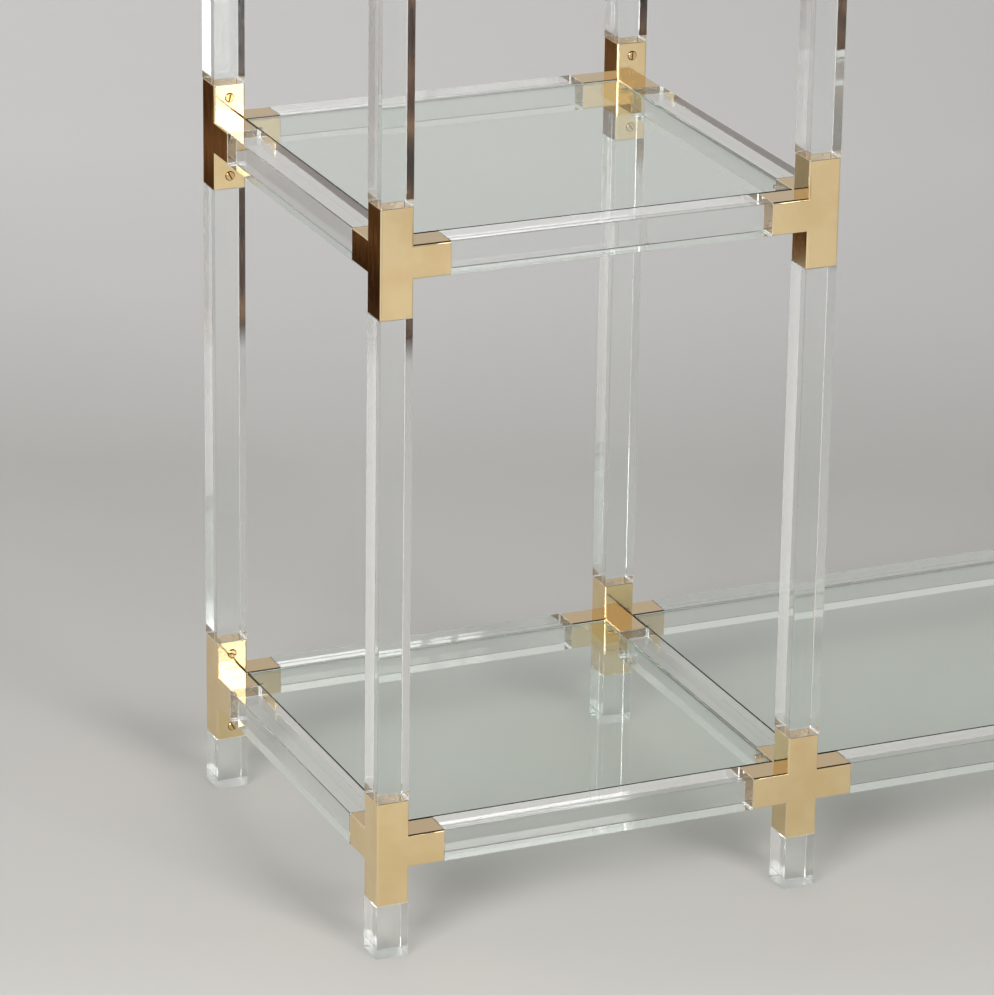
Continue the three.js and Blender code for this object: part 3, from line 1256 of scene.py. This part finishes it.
@dataclass(frozen=True)
class SeamlessPaper:
    """Matt pale paper: even, with soft bands of light and shade across it and no gloss of its own."""

    tones: tuple[tuple[float, str], ...] = (
        (0.04, "9E9C9A"), (0.125, "BAB8B6"), (0.3, "C5C3BF"), (0.35, "BCBAB6"), (0.55, "B9B7B4"),
        (0.65, "CFCDCB"), (0.75, "D9D7D5"),
    )
    depth_way: Triple = (0.4, 0.916, 0.0)  # the bands lie across this direction
    depth_range: Span = (-2.5, 3.5)  # metres along it at the shares 0 and 1
    side_range: Span = (-0.8, 1.2)  # metres to the right over which shade comes on
    side_shade: float = 0.12
    side_colour: str = "5E5E60"
    grain: Pattern = Pattern(3.0, height=0.05, detail=2.0, strength=0.1)
    roughness: float = 0.75
    gloss: float = 0.2

    def material(self, name: str) -> bpy.types.Material:
        """Makes the finish.

        Args:
            name: the material's name.

        Returns:
            The material.
        """
        material, tree, place = new_material(name)
        project = {"operation": "DOT_PRODUCT"}
        depth = add_node(tree, "VectorMath", project, i0=place, i1=self.depth_way).outputs["Value"]
        near, far = self.depth_range
        share = add_node(tree, "MapRange", i0=depth, i1=near, i2=far).outputs["Result"]
        stops = [(stop, linear(colour)) for stop, colour in self.tones]
        paper = add_node(tree, "ValToRGB", stops=stops, Fac=share).outputs["Color"]
        side = add_node(tree, "SeparateXYZ", Vector=place).outputs["X"]
        left, right = self.side_range
        shade = add_node(tree, "MapRange", i0=side, i1=left, i2=right, i3=0.0, i4=self.side_shade)
        mixed = {"i0": shade.outputs["Result"], "i6": paper, "i7": linear(self.side_colour)}
        tone = add_node(tree, "Mix", {"data_type": "RGBA"}, **mixed).outputs[2]
        grain = self.grain.relief(tree, place)
        shader = add_node(
            tree, "BsdfPrincipled", Base_Color=tone, Roughness=self.roughness, Specular_IOR_Level=self.gloss,
            Normal=grain,
        )
        add_node(tree, "OutputMaterial", Surface=shader.outputs["BSDF"])
        return material


@dataclass(frozen=True)
class PaintedDarkReflection:
    """A painted dark reflection: a glowing, streaked dark brown sheet beside the paper that only mirrored
    rays see, in brass that looks left.
    """

    streak: Pattern = Pattern(60.0, 750.0, detail=3.0)  # long streaks in the painted reflection
    streak_turn: float = 25.0  # degrees about the vertical
    tones: tuple[tuple[float, str], ...] = ((0.38, "1A110B"), (0.52, "40291A"), (0.66, "8A6A4E"))
    edge_way: Triple = (-0.71, 1.0, 0.0)  # the painted reflection fades in along this direction
    edge_range: Span = (2.1, 2.2)

    def material(self, name: str) -> bpy.types.Material:
        """Makes the finish, which is clear to every ray that isn't a reflection.

        Args:
            name: the material's name.

        Returns:
            The material.
        """
        material, tree, place = new_material(name)
        stops = [(stop, linear(colour)) for stop, colour in self.tones]
        turn = (0.0, 0.0, math.radians(self.streak_turn))
        tone = self.streak.tones(tree, place, stops, axis=1, turn=turn)
        glow = add_node(tree, "Emission", Color=tone).outputs["Emission"]
        clear = add_node(tree, "BsdfTransparent").outputs["BSDF"]
        project = {"operation": "DOT_PRODUCT"}
        near = add_node(tree, "VectorMath", project, i0=place, i1=self.edge_way).outputs["Value"]
        start, whole = self.edge_range
        edge = add_node(tree, "MapRange", i0=near, i1=start, i2=whole).outputs["Result"]
        share = add_node(tree, "Math", {"operation": "MULTIPLY"}, i0=reflected(tree), i1=edge).outputs[0]
        shown = add_node(tree, "MixShader", i0=share, i1=clear, i2=glow)
        add_node(tree, "OutputMaterial", Surface=shown.outputs["Shader"])
        return material


@dataclass(frozen=True)
class Studio:
    """A pale paper floor, its lamps, and the room that polished faces mirror.

    A front bank, a high key and a faint back lamp only light the floor. A strip in front is also
    seen through acrylic and glass. A near bank, and a glowing dark sheet at the left that is a painted
    reflection, show only in reflections. A softbox at the left lights, is mirrored and is seen through.
    """

    lamps: tuple[Softbox, ...] = (
        Softbox("front_bank", (0.43, -6.0, 2.8), (3.7, 1.0), 6.5, mirrored=False, seen_through=False),
        Softbox("near_bank", (0.31, -2.82, 1.6), (1.22, 0.45), 5.5, (0.31, 0.0, 1.6), True, False, False),
        Softbox("front_strip", (0.43, -6.0, 2.78), (3.7, 0.31), 3.5, mirrored=False),
        Softbox("front_key", (0.9, -5.9, 4.5), (2.0, 2.0), 14.0, mirrored=False, seen_through=False),
        Softbox("back_lamp", (0.6, 4.3, 2.6), (3.0, 3.0), 1.0, (0.6, 4.0, 0.0), False, False),
        Softbox("left_softbox", (-4.42, -3.41, 2.95), (2.7, 2.6), 13.0),
    )
    wall_colour: str = "D4D2CF"
    ceiling_colour: str = "2A2521"
    wall_top: Span = (0.55, 0.7)  # the steepness of a ray at which the wall darkens into the ceiling
    fill: float = 0.27  # the level of the soft light from all round
    floor_half: float = 30.0
    floor_sink: float = 0.2  # millimetres under the feet
    reflection_card_outline: tuple[Span, ...] = ((-0.86, 1.2), (-0.97, 1.9), (-1.3, 4.0), (-5.0, 4.0), (-5.0, 1.2))
    reflection_card_lift: float = 2.0  # millimetres over the paper
    glossy_bounces: int = 12
    transmission_bounces: int = 16  # a look through two bars and a pane crosses many faces
    bounces: int = 20

    def world(self) -> None:
        """Makes the world: a plain pale wall to look at, and a dark ceiling over it in reflections."""
        world = bpy.data.worlds.new("studio")
        bpy.context.scene.world = world
        world.use_nodes = True
        tree = world.node_tree
        tree.nodes.clear()
        way = add_node(tree, "TexCoord").outputs["Generated"]
        height = add_node(tree, "SeparateXYZ", Vector=way).outputs["Z"]
        wall, ceiling = linear(self.wall_colour), linear(self.ceiling_colour)
        stops = list(zip((0.0, *self.wall_top, 1.0), (wall, wall, ceiling, ceiling)))
        room = add_node(tree, "ValToRGB", stops=stops, Fac=height).outputs["Color"]
        shares = {"i0": reflected(tree), "i6": wall, "i7": room}
        seen = add_node(tree, "Mix", {"data_type": "RGBA"}, **shares).outputs[2]
        diffuse = add_node(tree, "LightPath").outputs["Is Diffuse Ray"]
        shares = {"i0": diffuse, "i6": seen, "i7": (self.fill,) * 3 + (1.0,)}
        light = add_node(tree, "Mix", {"data_type": "RGBA"}, **shares).outputs[2]
        back = add_node(tree, "Background", Color=light)
        add_node(tree, "OutputWorld", Surface=back.outputs["Background"])

    def sheet(
        self, name: str, outline: tuple[Span, ...], height: float, material: bpy.types.Material
    ) -> bpy.types.Object:
        """Makes a flat sheet of the stage.

        Args:
            name: its name.
            outline: its corners in metres, counted anticlockwise or clockwise.
            height: over the floor, in millimetres.
            material: its finish.

        Returns:
            The linked object.
        """
        mesh = bpy.data.meshes.new(name)
        mesh.from_pydata([(x, y, height * MM) for x, y in outline], [], [list(range(len(outline)))])
        mesh.materials.append(material)
        sheet = bpy.data.objects.new(name, mesh)
        bpy.context.scene.collection.objects.link(sheet)
        return sheet

    def build(self) -> None:
        """Makes the world, the floor, the painted dark reflection and the lamps, and sets how light is
        followed.
        """
        self.world()
        half = self.floor_half
        floor = ((-half, -half), (half, -half), (half, half), (-half, half))
        self.sheet("floor", floor, -self.floor_sink, SeamlessPaper().material("seamless_paper"))
        # The painted dark reflection: a glowing sheet that only reflections see.
        reflection_paint = PaintedDarkReflection().material("painted_dark_reflection")
        card = self.sheet("painted_dark_reflection", self.reflection_card_outline, self.reflection_card_lift, reflection_paint)
        card.visible_camera = card.visible_diffuse = card.visible_shadow = False
        for lamp in self.lamps:
            lamp.build()
        scene = bpy.context.scene
        scene.view_settings.view_transform = "Standard"
        scene.cycles.glossy_bounces = self.glossy_bounces
        scene.cycles.transmission_bounces = self.transmission_bounces
        scene.cycles.max_bounces = self.bounces


def main() -> None:
    """Builds the camera, the studio and the object."""
    logging.basicConfig(level=logging.INFO, format="%(message)s")
    View().build()
    Studio().build()
    Etagere().build()


if __name__ == "__main__":
    main()
